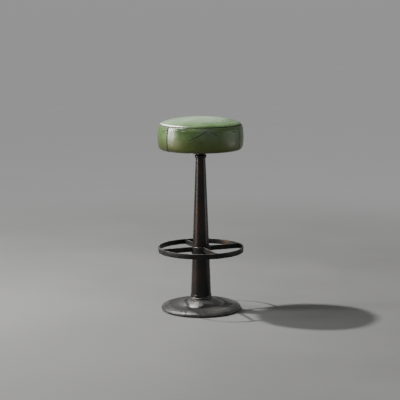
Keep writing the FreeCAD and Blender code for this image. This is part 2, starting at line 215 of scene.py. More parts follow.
def new_piece(name):
    """Names the primitive that was just added and settles its place in its mesh."""
    piece = bpy.context.object
    piece.name = name
    piece.data.name = name
    bpy.ops.object.transform_apply(location=True, rotation=True, scale=True)
    return piece


def block(name, centre, size):
    bpy.ops.mesh.primitive_cube_add(size=1, location=tuple(centre), scale=tuple(size))
    return new_piece(name)


def modify(piece, kind, **settings):
    """Adds a modifier with these settings and applies it."""
    activate(piece)
    modifier = piece.modifiers.new(kind.title(), kind)
    for name, value in settings.items():
        setattr(modifier, name, value)
    bpy.ops.object.modifier_apply(modifier=modifier.name)


def face_outwards(piece):
    edit(piece)
    bpy.ops.mesh.remove_doubles(threshold=weld_distance)
    bpy.ops.mesh.normals_make_consistent(inside=False)
    leave()


def smooth(piece, angle):
    activate(piece)
    bpy.ops.object.shade_smooth_by_angle(angle=radians(angle))


def draw_section(name, section):
    """Draws a half section in the XZ plane by extruding one point along it."""
    start = section[0]
    bpy.ops.mesh.primitive_plane_add(size=MM, location=(start[0], 0, start[1]))
    piece = new_piece(name)
    edit(piece)
    bpy.ops.mesh.merge(type="CENTER")
    for a, b in zip(section, section[1:]):
        step = (b[0] - a[0], 0, b[1] - a[1])
        bpy.ops.mesh.extrude_region_move(TRANSFORM_OT_translate={"value": step})
    leave()
    return piece


def lathe(name, section, steps):
    """Spins a half section about the stool's axis."""
    piece = draw_section(name, section)
    edit(piece)
    bpy.ops.mesh.spin(steps=steps, angle=tau, center=(0, 0, 0), axis=(0, 0, 1))
    leave()
    face_outwards(piece)
    return piece


def dent(piece, size, strength):
    """Slight unevenness of a hand-made surface."""
    texture = bpy.data.textures.new(piece.name, "CLOUDS")
    texture.noise_scale = size
    texture.noise_depth = 1
    modify(piece, "DISPLACE", texture=texture, texture_coords="LOCAL", strength=strength)


def turn_mesh(piece, angle):
    """Turns a piece about the stool's axis, in its mesh."""
    piece.data.transform(Matrix.Rotation(radians(angle), 4, "Z"))


def turned_copy(piece, angle, name):
    """A copy with its own mesh, turned about the stool's axis."""
    copy = piece.copy()
    copy.data = piece.data.copy()
    copy.name = name
    bpy.context.scene.collection.objects.link(copy)
    turn_mesh(copy, angle)
    return copy


def repeat_round(piece, count):
    """Repeats a piece evenly about the stool's axis."""
    bpy.ops.object.empty_add(rotation=(0, 0, tau / count))
    pivot = bpy.context.object
    by_pivot = dict(use_relative_offset=False, use_object_offset=True, offset_object=pivot)
    modify(piece, "ARRAY", count=count, **by_pivot)
    bpy.data.objects.remove(pivot)


# Node groups. Each takes the place on the surface as its Vector.


def new_group(name, inputs, outputs):
    """A shader node group whose sockets are colours or numbers by their labels."""
    tree = bpy.data.node_groups.new(name, "ShaderNodeTree")
    for side, labels in (("INPUT", ["Vector"] + inputs), ("OUTPUT", outputs)):
        for label in labels:
            kind = "Vector" if label == "Vector" else "Color" if "Colour" in label else "Float"
            tree.interface.new_socket(label, in_out=side, socket_type="NodeSocket" + kind)
    start, end = tree.nodes.new("NodeGroupInput"), tree.nodes.new("NodeGroupOutput")
    return tree, start.outputs, end.inputs


def feed(tree, source, socket):
    """Links a socket, or sets a value. A colour comes without its alpha."""
    if isinstance(source, bpy.types.NodeSocket):
        tree.links.new(source, socket)
    else:
        socket.default_value = (*source, 1) if socket.type == "RGBA" else source


def add_node(tree, kind, **settings):
    node = tree.nodes.new(kind)
    for name, value in settings.items():
        setattr(node, name, value)
    return node


def add_noise(tree, vector, scale, detail, roughness=0.55, output="Fac"):
    node = add_node(tree, "ShaderNodeTexNoise")
    node.inputs["Detail"].default_value = detail
    node.inputs["Roughness"].default_value = roughness
    feed(tree, vector, node.inputs["Vector"])
    feed(tree, scale, node.inputs["Scale"])
    return node.outputs[output]


def add_math(tree, operation, first, second):
    node = add_node(tree, "ShaderNodeMath", operation=operation)
    feed(tree, first, node.inputs[0])
    feed(tree, second, node.inputs[1])
    return node.outputs[0]


def product(tree, first, *others):
    for other in others:
        first = add_math(tree, "MULTIPLY", first, other)
    return first


def add_vector_math(tree, operation, first, second=(0, 0, 0)):
    node = add_node(tree, "ShaderNodeVectorMath", operation=operation)
    feed(tree, first, node.inputs[0])
    feed(tree, second, node.inputs[1])
    return node.outputs["Value" if operation in ("LENGTH", "DISTANCE") else "Vector"]


def add_range(tree, value, from_low, from_high, to_low=0.0, to_high=1.0):
    node = add_node(tree, "ShaderNodeMapRange", interpolation_type="SMOOTHSTEP")
    labels = ("Value", "From Min", "From Max", "To Min", "To Max")
    for label, source in zip(labels, (value, from_low, from_high, to_low, to_high)):
        feed(tree, source, node.inputs[label])
    return node.outputs["Result"]


def add_mix(tree, share, first, second):
    node = add_node(tree, "ShaderNodeMix", data_type="RGBA")
    feed(tree, share, node.inputs["Factor"])
    feed(tree, first, node.inputs["A"])
    feed(tree, second, node.inputs["B"])
    return node.outputs["Result"]


def mottle_group():
    """Soft patches of two colours, with a finer speckle over them."""
    labels = ["First Colour", "Second Colour", "Patch Scale", "Speckle Scale", "Speckle"]
    tree, inputs, outputs = new_group("Mottle", labels, ["Colour", "Patch"])
    noise_middle, patch_edge = 0.5, 0.14
    patch = add_noise(tree, inputs["Vector"], inputs["Patch Scale"], detail=5.0)
    speckle = add_noise(tree, inputs["Vector"], inputs["Speckle Scale"], detail=3.0)
    offset = add_math(tree, "SUBTRACT", speckle, noise_middle)
    share = add_math(tree, "ADD", patch, product(tree, offset, inputs["Speckle"]))
    share = add_range(tree, share, noise_middle - patch_edge, noise_middle + patch_edge)
    mixed = add_mix(tree, share, inputs["First Colour"], inputs["Second Colour"])
    feed(tree, mixed, outputs["Colour"])
    feed(tree, share, outputs["Patch"])
    return tree


def pebble_group():
    """Leather's pebbled grain with fine pores, as a height."""
    tree, inputs, outputs = new_group("Pebble Grain", ["Scale", "Pores"], ["Height"])
    warp_scale, warp_reach, pore_scale, cell_edge = 90.0, 4 * MM, 1500.0, 0.28
    warp = add_noise(tree, inputs["Vector"], warp_scale, detail=2.0, output="Color")
    shift = add_vector_math(tree, "MULTIPLY", warp, (warp_reach,) * 3)
    moved = add_vector_math(tree, "ADD", inputs["Vector"], shift)
    cell = add_node(tree, "ShaderNodeTexVoronoi", feature="DISTANCE_TO_EDGE")
    feed(tree, moved, cell.inputs["Vector"])
    feed(tree, inputs["Scale"], cell.inputs["Scale"])
    pebble = add_range(tree, cell.outputs["Distance"], 0.0, cell_edge)
    fine = add_noise(tree, inputs["Vector"], pore_scale, detail=2.0)
    pores = product(tree, fine, inputs["Pores"])
    feed(tree, add_math(tree, "ADD", pebble, pores), outputs["Height"])
    return tree


def cast_group():
    """The sandy skin of cast or hammered iron, as a height."""
    tree, inputs, outputs = new_group("Cast Skin", ["Grit Scale", "Lump Scale"], ["Height"])
    lump_weight = 2.5
    grit = add_noise(tree, inputs["Vector"], inputs["Grit Scale"], detail=3.0, roughness=0.7)
    lump = add_noise(tree, inputs["Vector"], inputs["Lump Scale"], detail=4.0)
    feed(tree, add_math(tree, "ADD", grit, product(tree, lump, lump_weight)), outputs["Height"])
    return tree


def wear_group():
    """Where edges are rubbed, broken up by noise."""
    labels = ["Edge Low", "Edge High", "Break Scale"]
    tree, inputs, outputs = new_group("Edge Wear", labels, ["Mask"])
    break_low, break_high = 0.38, 0.62
    sharpness = add_node(tree, "ShaderNodeNewGeometry").outputs["Pointiness"]
    edge = add_range(tree, sharpness, inputs["Edge Low"], inputs["Edge High"])
    broken = add_noise(tree, inputs["Vector"], inputs["Break Scale"], detail=5.0)
    gate = add_range(tree, broken, break_low, break_high)
    feed(tree, product(tree, edge, gate), outputs["Mask"])
    return tree


def smudge_group():
    """Roughness that wanders between two values."""
    tree, inputs, outputs = new_group("Smudge", ["Scale", "Low", "High"], ["Roughness"])
    noise_low, noise_high = 0.3, 0.7
    field = add_noise(tree, inputs["Vector"], inputs["Scale"], detail=5.0)
    value = add_range(tree, field, noise_low, noise_high, inputs["Low"], inputs["High"])
    feed(tree, value, outputs["Roughness"])
    return tree


MOTTLE = mottle_group()
PEBBLE = pebble_group()
CAST = cast_group()
WEAR = wear_group()
SMUDGE = smudge_group()


# Finishes


class Finish:
    """A material in the making: its tree, its shader and the object's own coordinates."""

    def __init__(self, name, **constants):
        self.material = bpy.data.materials.new(name)
        self.material.use_nodes = True
        self.tree = self.material.node_tree
        self.shader = self.tree.nodes["Principled BSDF"]
        self.place = add_node(self.tree, "ShaderNodeTexCoord").outputs["Object"]
        self.shown = None
        for label, value in constants.items():
            feed(self.tree, value, self.shader.inputs[label.replace("_", " ")])

    def group(self, tree, **values):
        """Places a node group and returns its outputs."""
        node = add_node(self.tree, "ShaderNodeGroup", node_tree=tree)
        feed(self.tree, self.place, node.inputs["Vector"])
        for label, value in values.items():
            feed(self.tree, value, node.inputs[label.replace("_", " ")])
        return node.outputs

    def mottle(self, first, second, patch_scale, speckle, speckle_scale=160.0):
        return self.group(
            MOTTLE,
            First_Colour=first,
            Second_Colour=second,
            Patch_Scale=patch_scale,
            Speckle_Scale=speckle_scale,
            Speckle=speckle,
        )

    def wear(self, edge_low, edge_high, break_scale):
        values = {"Edge_Low": edge_low, "Edge_High": edge_high, "Break_Scale": break_scale}
        return self.group(WEAR, **values)["Mask"]

    def attribute(self, name):
        return add_node(self.tree, "ShaderNodeAttribute", attribute_name=name).outputs["Fac"]

    def height_share(self, low, high):
        """0 at a height above the floor, 1 at another."""
        split = add_node(self.tree, "ShaderNodeSeparateXYZ")
        feed(self.tree, self.place, split.inputs[0])
        return add_range(self.tree, split.outputs["Z"], low, high)

    def axis_share(self, low, high):
        """0 at a distance from the stool's axis, 1 at another."""
        flat = add_vector_math(self.tree, "MULTIPLY", self.place, (1, 1, 0))
        return add_range(self.tree, add_vector_math(self.tree, "LENGTH", flat), low, high)

    def layer(self, colour, share=None, weight=None):
        """Lays a colour over what shows so far, by a share and its weight."""
        if weight is not None:
            share = product(self.tree, share, weight)
        if share is not None:
            colour = add_mix(self.tree, share, self.shown, colour)
        self.shown = colour
        feed(self.tree, colour, self.shader.inputs["Base Color"])

    def smudge(self, scale, low, high, more=None):
        """Sets a wandering roughness, with more of it by a share."""
        value = self.group(SMUDGE, Scale=scale, Low=low, High=high)["Roughness"]
        if more is not None:
            value = add_math(self.tree, "ADD", value, more)
        feed(self.tree, value, self.shader.inputs["Roughness"])

    def bump(self, height, depth, strength):
        node = add_node(self.tree, "ShaderNodeBump")
        feed(self.tree, height, node.inputs["Height"])
        feed(self.tree, depth, node.inputs["Distance"])
        feed(self.tree, strength, node.inputs["Strength"])
        feed(self.tree, node.outputs["Normal"], self.shader.inputs["Normal"])

    def cast(self, grit_scale, lump_scale, depth, strength):
        skin = self.group(CAST, Grit_Scale=grit_scale, Lump_Scale=lump_scale)
        self.bump(skin["Height"], depth, strength)


def leather_finish():
    """Green leather: a crown painted paler as sheen, olive below, rubbed edges, painted shade in
    grooves, creases and low down, and a painted highlight on the top roll.
    """
    finish = Finish(
        "green_leather", Specular_IOR_Level=0.45, Coat_Weight=0.2, Coat_Roughness=0.22
    )
    deep, mid, olive = (0.021, 0.047, 0.011), (0.052, 0.094, 0.023), (0.046, 0.060, 0.004)
    sheen_dark, pale = (0.056, 0.108, 0.040), (0.090, 0.155, 0.066)
    rubbed, painted_highlight = (0.16, 0.21, 0.10), (0.80, 0.81, 0.68)
    shade_colour, low_left_shade = (0.005, 0.007, 0.003), (0.015, 0.020, 0.001)
    low_weight, rub_weight, under_weight, groove_roughness = 0.9, 0.35, 0.35, 0.5
    groove = finish.attribute("groove")
    crown = finish.height_share(top_seam_height + 4 * MM, top_seam_height + 12 * MM)
    turned_under = finish.height_share(seat_low + 20 * MM, seat_low + 1 * MM)
    low = finish.height_share(seat_low + 75 * MM, seat_low + 12 * MM)
    finish.layer(finish.mottle(deep, mid, 9.0, 0.25)["Colour"])
    finish.layer(olive, low, low_weight)
    # Painted sheen: paler, greener colours on the crown stand in for the pale reflection on its
    # top
    finish.layer(finish.mottle(sheen_dark, pale, 11.0, 0.35)["Colour"], crown)
    finish.layer(rubbed, finish.wear(0.505, 0.56, 35.0), rub_weight)
    # Painted highlight: near-white along the top roll, only on the left front where the key light
    # strikes
    finish.layer(painted_highlight, finish.attribute("roll_highlight"))
    # Painted shade in the seam grooves and crease folds, and along the turned-under foot
    finish.layer(shade_colour, groove)
    finish.layer(shade_colour, turned_under, under_weight)
    # Painted shade low on the left of the side
    finish.layer(low_left_shade, finish.attribute("painted_shade"))
    finish.smudge(18.0, 0.25, 0.37, product(finish.tree, groove, groove_roughness))
    pebbles = finish.group(PEBBLE, Scale=520.0, Pores=0.3)
    finish.bump(pebbles["Height"], 0.12 * MM, 0.4)
    return finish.material


def cast_finish():
    """Bare cast iron, worn bright on its edges, with painted shade darkening the base's valley.
    """
    finish = Finish("cast_iron", Metallic=0.35, Specular_IOR_Level=0.6)
    dark, light = (0.017, 0.017, 0.016), (0.046, 0.0445, 0.041)
    worn, painted_shade = (0.28, 0.27, 0.25), (0.012, 0.0115, 0.010)
    worn_weight, valley_shade_weight, valley_roughness = 0.7, 0.9, 0.25
    inside = finish.axis_share(base_radius * 0.56, base_radius * 0.60)
    outside = finish.axis_share(base_radius * 0.84, base_radius * 0.77)
    valley = product(finish.tree, inside, outside)
    finish.layer(finish.mottle(dark, light, 22.0, 0.6)["Colour"])
    finish.layer(worn, finish.wear(0.51, 0.57, 60.0), worn_weight)
    # Painted shade: darker in the valley between the rim's roll and the dome
    finish.layer(painted_shade, valley, valley_shade_weight)
    finish.smudge(30.0, 0.25, 0.40, product(finish.tree, valley, valley_roughness))
    finish.cast(420.0, 170.0, 0.6 * MM, 1.0)
    return finish.material


def black_iron_finish():
    """Blackened bar, rubbed on its edges and the ring's top, with one rusty place."""
    finish = Finish("black_iron", Specular_IOR_Level=0.22)
    tree = finish.tree
    dark, light = (0.0035, 0.0035, 0.0036), (0.009, 0.0087, 0.0085)
    worn, rusty = (0.16, 0.14, 0.115), (0.045, 0.025, 0.014)
    edge_weight, top_weight = 0.4, 0.6
    mottle = finish.mottle(dark, light, 30.0, 0.5)
    below = finish.height_share(ring_high - 0.6 * MM, ring_high - 0.1 * MM)
    above = finish.height_share(ring_high + 0.6 * MM, ring_high + 0.3 * MM)
    top = product(tree, below, above, finish.wear(-1.0, 0.0, 28.0), top_weight)
    edges = product(tree, finish.wear(0.53, 0.62, 45.0), edge_weight)
    off_hub = finish.axis_share(hub_radius + MM, hub_radius + 4 * MM)
    gap = add_vector_math(tree, "DISTANCE", finish.place, rust_place)
    near = add_range(tree, gap, 34 * MM, 8 * MM)
    finish.layer(mottle["Colour"])
    finish.layer(worn, product(tree, add_math(tree, "MAXIMUM", edges, top), off_hub))
    finish.layer(rusty, product(tree, near, mottle["Patch"]))
    finish.smudge(40.0, 0.36, 0.55)
    finish.cast(700.0, 80.0, 0.2 * MM, 0.5)
    return finish.material


def plywood_finish():
    finish = Finish("plywood")
    stretch = add_node(finish.tree, "ShaderNodeMapping")
    feed(finish.tree, finish.place, stretch.inputs["Vector"])
    feed(finish.tree, (1.0, 14.0, 60.0), stretch.inputs["Scale"])
    grain = add_noise(finish.tree, stretch.outputs["Vector"], 14.0, detail=6.0)
    finish.layer((0.36, 0.23, 0.12))
    finish.layer((0.56, 0.40, 0.24), add_range(finish.tree, grain, 0.35, 0.65))
    finish.smudge(60.0, 0.6, 0.8)
    finish.bump(grain, 0.2 * MM, 0.6)
    return finish.material


def cloth_finish():
    finish = Finish("dust_cloth", Sheen_Weight=0.3)
    threads = []
    for axis in ("X", "Y"):
        wave = add_node(finish.tree, "ShaderNodeTexWave", bands_direction=axis)
        feed(finish.tree, finish.place, wave.inputs["Vector"])
        feed(finish.tree, 500.0, wave.inputs["Scale"])
        feed(finish.tree, 0.6, wave.inputs["Distortion"])
        threads.append(wave.outputs["Fac"])
    weave = add_math(finish.tree, "MAXIMUM", *threads)
    finish.layer((0.006, 0.006, 0.006))
    finish.layer((0.022, 0.021, 0.020), weave)
    finish.smudge(40.0, 0.85, 1.0)
    finish.bump(weave, 0.2 * MM, 0.8)
    return finish.material


def plain_finish(name, mottle, smudge, cast, **constants):
    """Mottled in two colours, with a wandering roughness and a cast or grainy skin."""
    finish = Finish(name, **constants)
    finish.layer(finish.mottle(*mottle)["Colour"])
    finish.smudge(*smudge)
    finish.cast(*cast)
    return finish.material


def fine_finish(name, dark, light, low, high, metallic):
    """Metal or rubber with a fine grain, between a low and a high roughness."""
    mottle, cast = (dark, light, 60.0, 0.4), (1500.0, 200.0, 0.05 * MM, 0.5)
    return plain_finish(name, mottle, (90.0, low, high), cast, Metallic=metallic)


finishes = {
    "leather": leather_finish(),
    "thread": plain_finish(
        "waxed_thread",
        mottle=((0.012, 0.022, 0.008), (0.035, 0.055, 0.020), 120.0, 0.8, 2200.0),
        smudge=(80.0, 0.45, 0.65),
        cast=(3000.0, 900.0, 0.1 * MM, 0.6),
        Specular_IOR_Level=0.4,
    ),
    "weld": plain_finish(
        "weld_metal",
        mottle=((0.010, 0.0095, 0.009), (0.07, 0.062, 0.053), 90.0, 0.6),
        smudge=(80.0, 0.35, 0.5),
        cast=(900.0, 260.0, 0.4 * MM, 0.7),
        Metallic=0.3,
    ),
    "foam": plain_finish(
        "foam",
        mottle=((0.62, 0.52, 0.28), (0.76, 0.68, 0.42), 25.0, 0.8, 900.0),
        smudge=(50.0, 0.9, 1.0),
        cast=(1200.0, 300.0, 0.6 * MM, 0.8),
    ),
    "plywood": plywood_finish(),
    "dust_cloth": cloth_finish(),
    "column_paint": plain_finish(
        "column_paint",
        mottle=((0.0022, 0.0024, 0.0028), (0.012, 0.0056, 0.0040), 14.0, 0.3),
        smudge=(22.0, 0.20, 0.30),
        cast=(140.0, 25.0, 0.03 * MM, 0.1),
        Specular_IOR_Level=0.32,
    ),
    "black_iron": black_iron_finish(),
    "cast_base": cast_finish(),
    "steel": fine_finish("steel", (0.28, 0.27, 0.26), (0.42, 0.41, 0.40), 0.25, 0.4, 1.0),
    "zinc": fine_finish("zinc", (0.38, 0.39, 0.40), (0.55, 0.56, 0.56), 0.3, 0.5, 1.0),
    "bronze": fine_finish("bronze", (0.34, 0.20, 0.09), (0.48, 0.30, 0.14), 0.25, 0.4, 1.0),
    "rubber": fine_finish("rubber", (0.010, 0.010, 0.010), (0.020, 0.020, 0.020), 0.7, 0.9, 0.0),
}


def dress(piece, body, finish, *replaced):
    """Gives a finished piece its material, its body and the nodes that it stands for."""
    piece.data.materials.clear()
    piece.data.materials.append(finishes[finish])
    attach(piece, body)
    if replaced:
        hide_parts(*replaced)
    return piece


# Base casting

# Upper contour from the rim's foot in to the collar, in runs: where each starts, a place
# it bends through unless it is straight, and its steps. Places are shares of the way from
# collar to rim and of dome_rise.
contour_runs = [
    ((0.955, 0.0), (0.990, 0.050), 5),
    ((1.0, 0.126), (0.973, 0.274), 12),
    ((0.904, 0.368), (0.829, 0.444), 9),
    ((0.749, 0.469), (0.560, 0.434), 14),
    ((0.375, 0.501), None, 4),
    ((0.321, 0.621), (0.174, 0.841), 14),
]
contour_ends = [start for start, middle, steps in contour_runs] + [(0.0, 1.0)]


def contour_place(shares, drop=0.0):
    reach = base_radius - collar_radius
    return (collar_radius + shares[0] * reach, floor_gap + shares[1] * dome_rise - drop)


def base_shell():
    """The casting's skin: rolled rim, valley and dome above, a ribbed hollow below."""
    lip = 0.8 * MM
    boss_face = column_foot - boss_thickness
    ends = [contour_place(shares) for shares in contour_ends]
    section = []
    for start, end, (_, middle, steps) in zip(ends, ends[1:], contour_runs):
        if middle is None:
            section += line_points(start, end, steps)
        else:
            section += bend_points(start, contour_place(middle), end, steps)
    under = [contour_place(shares, casting_wall) for shares in reversed(contour_ends[2:])]
    section += [
        ends[-1],
        (collar_radius, casting_top - lip),
        (collar_radius - lip, casting_top),
        (socket_radius + lip / 2, casting_top),
        (socket_radius, casting_top - lip),
        (socket_radius, column_foot),
        (bolt_hole_radius, column_foot),
        (bolt_hole_radius, boss_face),
        (boss_radius, boss_face),
        *((max(radius, boss_radius), z) for radius, z in under if radius < rim_inner_radius),
        (rim_inner_radius, under[-1][1]),
        (rim_inner_radius, floor_gap + lip),
        (rim_inner_radius + lip, floor_gap),
        ends[0],
    ]
    return lathe("cast_base", section, steps=160)


def base_ribs():
    """Four ribs and eight pad bosses under the casting."""
    valley_share, wall_share = contour_ends[3][1], 0.8
    ceiling = floor_gap + valley_share * dome_rise - casting_wall * wall_share
    low = floor_gap + rib_clearance
    boss_low, boss_high = 2 * floor_gap + MM, ceiling - 2 * MM
    inner, outer = boss_radius - rib_thickness / 2, rim_inner_radius + MM
    ribs = []
    for number in range(4):
        centre = ((inner + outer) / 2, 0, (low + ceiling) / 2)
        ribs.append(block("rib", centre, (outer - inner, rib_thickness, ceiling - low)))
        turn_mesh(ribs[-1], 90 * number)
    for number in range(8):
        turn = tau * (number + 0.5) / 8
        bpy.ops.mesh.primitive_cylinder_add(
            vertices=24,
            radius=pad_boss_radius,
            depth=boss_high - boss_low,
            location=(*arc_point((0, 0), pad_circle_radius, turn), (boss_high + boss_low) / 2),
        )
        ribs.append(new_piece("boss"))
    return ribs


def base_casting():
    piece = base_shell()
    for part in base_ribs():
        modify(piece, "BOOLEAN", operation="UNION", object=part)
        bpy.data.objects.remove(part)
    smooth(piece, turned_bend)
    dress(piece, "pedestal", "cast_base", "base_casting")


# Column and collar


def turned_piece(name, section, steps, finish, node, bend=turned_bend):
    """Turns a closed section and dresses it as a piece of the pedestal."""
    piece = lathe(name, closed(section), steps)
    smooth(piece, bend)
    dress(piece, "pedestal", finish, node)


def column_radius(height):
    share = (height - column_foot) / (column_top - column_foot)
    return column_foot_radius + share * (column_top_radius - column_foot_radius)


def column_tube():
    """The tapered tube."""
    foot, top = (column_foot_radius, column_foot), (column_top_radius, column_top)
    inner = [(top[0] - column_wall, column_top), (foot[0] - column_wall, column_foot)]
    section = line_points(foot, top, 60) + [top] + inner
    turned_piece("column_tube", section, 96, "column_paint", "column")


def foot_ferrule():
    """A thin turned band round the column's foot, with a rolled lip."""
    low, high, outer = ferrule_low, ferrule_high, ferrule_radius
    taper_share = 0.025
    bore = column_foot_radius - (column_foot_radius - column_top_radius) * taper_share
    roll, top_outer = 0.8 * MM, outer - 0.45 * MM
    section = [
        (bore - 0.3 * MM, low),
        (outer - roll / 2, low),
        (outer, low + roll / 2),
        (outer, low + 2 * MM),
        (outer - 0.5 * MM, low + 3 * MM),
        (top_outer - 0.5 * MM, high - 4 * MM),
        *arc_points((top_outer - 1.0 * MM, high - 1.6 * MM), 1.2 * MM, -60, 120, 10),
        (bore - 0.8 * MM, high - 0.6 * MM),
    ]
    turned_piece("foot_ferrule", section, 128, "column_paint", "column_foot_ferrule")


def bead_collar():
    """The turned collar with its round bead, up to the bearing."""
    lip = column_top_radius + collar_lip
    bead_end = column_top + bead_height
    ease, edge = 0.4 * MM, 0.5 * MM
    middle = (bead_radius, column_top + bead_height / 2)
    section = [
        (collar_bore, collar_high),
        (collar_bore, collar_low),
        (lip, collar_low),
        *bend_points((lip, collar_low + ease), middle, (lip, bead_end - ease), 22),
        (lip, bead_end - ease),
        (lip - edge, bead_end),
        (neck_radius + ease, bead_end),
        (neck_radius, bead_end + ease),
        (neck_radius, collar_high - edge),
        (neck_radius - edge, collar_high),
    ]
    turned_piece("bead_collar", section, 96, "column_paint", "column_top_collar")


# Foot ring


def foot_ring():
    """A flat bar on edge with eased corners, rolled to a ring."""
    ease = bar_rounding
    sides = (ring_radius - ease, ring_radius - bar_thickness + ease)
    corners = [(0, ring_low, -90), (0, ring_high, 0), (1, ring_high, 90), (1, ring_low, 180)]
    section = []
    for side, height, first in corners:
        centre = (sides[side], height + (ease if height == ring_low else -ease))
        section += arc_points(centre, ease, first, first + 90, 3)
    piece = lathe("foot_ring", closed(section), steps=192)
    dent(piece, 0.03, 0.5 * MM)
    smooth(piece, bar_bend)
    dress(piece, "pedestal", "black_iron", "footrest_ring")


def foot_spokes():
    """Four flat bars from the hub out to the ring."""
    low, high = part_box("footrest_spoke_1")
    first = block("foot_spoke_1", (low + high) / 2, high - low)
    edit(first)
    bpy.ops.mesh.bevel(offset=bar_rounding, segments=3, affect="EDGES")
    leave()
    lengths = 24
    for step in range(1, lengths):
        edit(first)
        place = low.x + (high.x - low.x) * step / lengths
        bpy.ops.mesh.bisect(plane_co=(place, 0, 0), plane_no=(1, 0, 0))
        leave()
    first_angle = bearing(low + high)
    spokes = [first]
    for number in (2, 3, 4):
        angle = bearing(sum(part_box(f"footrest_spoke_{number}"), Vector())) - first_angle
        spokes.append(turned_copy(first, angle, f"foot_spoke_{number}"))
    for number, spoke in enumerate(spokes, 1):
        dent(spoke, 0.02, 0.35 * MM)
        smooth(spoke, bar_bend)
        dress(spoke, "pedestal", "black_iron", f"footrest_spoke_{number}")


def foot_hub():
    """The sleeve that clamps the spokes to the column."""
    ease, clearance = 1.2 * MM, 0.05 * MM
    section = [
        (column_radius(hub_low) + clearance, hub_low),
        (hub_radius - ease, hub_low),
        (hub_radius, hub_low + ease),
        (hub_radius, hub_high - ease),
        (hub_radius - ease, hub_high),
        (column_radius(hub_high) + clearance, hub_high),
    ]
    turned_piece("foot_hub", section, 96, "black_iron", "footrest_hub", hub_bend)


def weld_bead(name, radius):
    """A lumpy bead of weld round the first spoke, at a distance from the axis."""
    low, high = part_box("footrest_spoke_1")
    half = (high.y - low.y) / 2
    outline = [(-half, low.z), (half, low.z), (half, high.z), (-half, high.z)]
    piece = draw_section(name, closed(outline))
    for vertex in piece.data.vertices:
        vertex.co = Vector((radius, vertex.co.x, vertex.co.z))
    edit(piece)
    bpy.ops.mesh.remove_doubles(threshold=weld_distance)
    bpy.ops.mesh.subdivide(number_cuts=9)
    leave()
    activate(piece)
    bpy.ops.object.convert(target="CURVE")
    piece.data.bevel_depth = weld_radius
    piece.data.bevel_resolution = 3
    bpy.ops.object.convert(target="MESH")
    dent(piece, 0.004, 1.2 * MM)
    smooth(piece, soft_bend)
    return piece


def weld_beads():
    """Beads where the four spokes meet the hub and the ring."""
    for place, radius in (("hub", hub_radius), ("ring", ring_radius - bar_thickness)):
        first = weld_bead(f"{place}_weld_1", radius)
        copies = [turned_copy(first, 90 * step, f"{place}_weld_{step + 1}") for step in (1, 2, 3)]
        for weld in [first] + copies:
            dress(weld, "pedestal", "weld")


# Seat cushion

crown_grid_radius = 100.0 * MM
crown_smoothing = 60
skin_steps = 240
gather_reach = radians(9.0)
gather_power = 1.7
top_corner = (
    seat_radius - side_bulge - top_corner_radius,
    seat_top - crown_rise - top_corner_radius,
)
bottom_corner = (
    seat_radius - side_bulge - bottom_corner_radius,
    seat_low + bottom_corner_radius,
)
rows_above_seam = [12, 10, 8.4, 7, 5.8, 4.7, 3.6, 2.6, 1.7, 0.8]
rows_below_seam = [0, 0.8, 1.7, 2.6, 3.6, 4.8, 6.2, 8, 10.5, 13.5, 16.5]
seam_rows = [-gap * MM for gap in rows_above_seam] + [gap * MM for gap in rows_below_seam]


def crown_circle():
    """Centre and radius of the crown, which touches the top corner from outside."""
    drop = seat_top - top_corner[1]
    squares = top_corner_radius ** 2 - top_corner[0] ** 2 - drop ** 2
    radius = squares / (top_corner_radius - drop) / 2
    return (0, seat_top - radius), radius


def side_circle():
    """Centre and radius of the side, which touches both corners from outside."""
    top_part = (seat_radius - top_corner[0]) ** 2 - top_corner_radius ** 2
    bottom_part = (seat_radius - bottom_corner[0]) ** 2 - bottom_corner_radius ** 2
    squares = bottom_corner[1] ** 2 - top_corner[1] ** 2
    height = (bottom_part - top_part + squares) / (bottom_corner[1] - top_corner[1]) / 2
    radius = (top_part + (height - top_corner[1]) ** 2) / side_bulge / 2
    return (seat_radius - radius, height), radius


crown_centre, crown_radius = crown_circle()
side_centre, side_radius = side_circle()
crown_angle = slope(crown_centre, top_corner)
side_top_angle = slope(side_centre, top_corner)
side_bottom_angle = slope(side_centre, bottom_corner)
crown_arc = (crown_centre, crown_radius)
top_arc = (top_corner, top_corner_radius)
side_arc = (side_centre, side_radius)
bottom_arc = (bottom_corner, bottom_corner_radius)


def outline(inset, *runs):
    """Points down the cushion's arcs, each with its first and last angle and its steps."""
    points = []
    for (centre, radius), first, last, steps in runs:
        arc = arc_points(centre, radius - inset, first, last, steps)
        points += arc[1:] if points else arc
    return points


def crown_height(radius):
    return crown_centre[1] + sqrt(crown_radius ** 2 - radius ** 2)


def skin_section():
    """The outline from a ring on the crown to the edge tucked under the board."""
    grid_angle = slope(crown_centre, (crown_grid_radius, crown_height(crown_grid_radius)))
    crown = outline(0, (crown_arc, grid_angle, crown_angle, 10))
    turns = [crown_angle - 4 * step for step in range(1, 4)]
    turns += [top_seam_angle - degrees(gap / top_corner_radius) for gap in seam_rows]
    turns += [side_top_angle]
    corner = [arc_point(*top_arc, radians(turn)) for turn in turns]
    side = (side_arc, side_top_angle, side_bottom_angle, 16)
    below = outline(0, side, (bottom_arc, side_bottom_angle, -90, 9))
    tuck = (leather_tuck_radius, seat_low)
    return crown + corner + below[1:] + line_points(below[-1], tuck, 6)[1:] + [tuck]


def around_seam(place):
    """Signed distance down the top corner from the top seam."""
    turn = slope(top_corner, (axis_distance(place), place.z))
    return radians(top_seam_angle - turn) * top_corner_radius


def upright_seam_gap(place):
    """Distance round the seat to the nearest upright seam, with its side as the sign."""
    gaps = [turn_between(seam, bearing(place)) for seam in side_seam_angles]
    return radians(min(gaps, key=abs)) * axis_distance(place)


def panel_of(place):
    """0 on the top panel, else the number of the side panel."""
    above_corner = place.z > top_corner[1]
    if above_corner and (axis_distance(place) < top_corner[0] or around_seam(place) < 0):
        return 0
    starts = [(bearing(place) - seam) % 360 for seam in side_seam_angles]
    return 1 + starts.index(min(starts))


